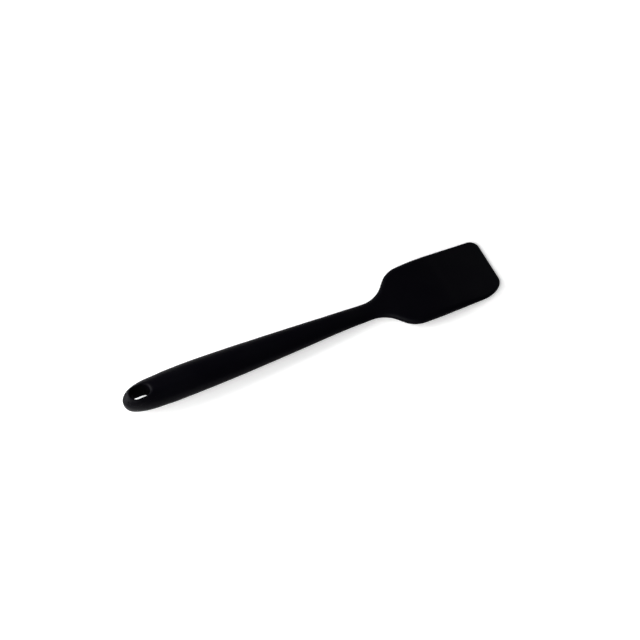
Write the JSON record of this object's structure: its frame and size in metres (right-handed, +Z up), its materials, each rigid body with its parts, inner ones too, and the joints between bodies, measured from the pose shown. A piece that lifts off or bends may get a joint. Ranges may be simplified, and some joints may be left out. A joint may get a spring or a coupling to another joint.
{
  "type": "silicone spatula",
  "caption": "One-piece overmoulded silicone spatula: oval handle with a hanging hole, narrow neck and flat tapered flexible blade over a stiff inner core.",
  "frame": {"origin": "middle of the underside, on the surface that the spatula lies on, halfway along its length", "axes": "+X along the spatula from the handle's end to the blade's tip, +Y across the blade, +Z up from the flat underside"},
  "size_m": [0.28, 0.0506, 0.0174],
  "materials": {
    "silicone": "matte black moulded silicone",
    "core": "glass-filled nylon, moulded"
  },
  "bodies": {
    "root": {"silicone_body": "silicone", "reinforcing_core": "core"}
  },
  "joints": []
}
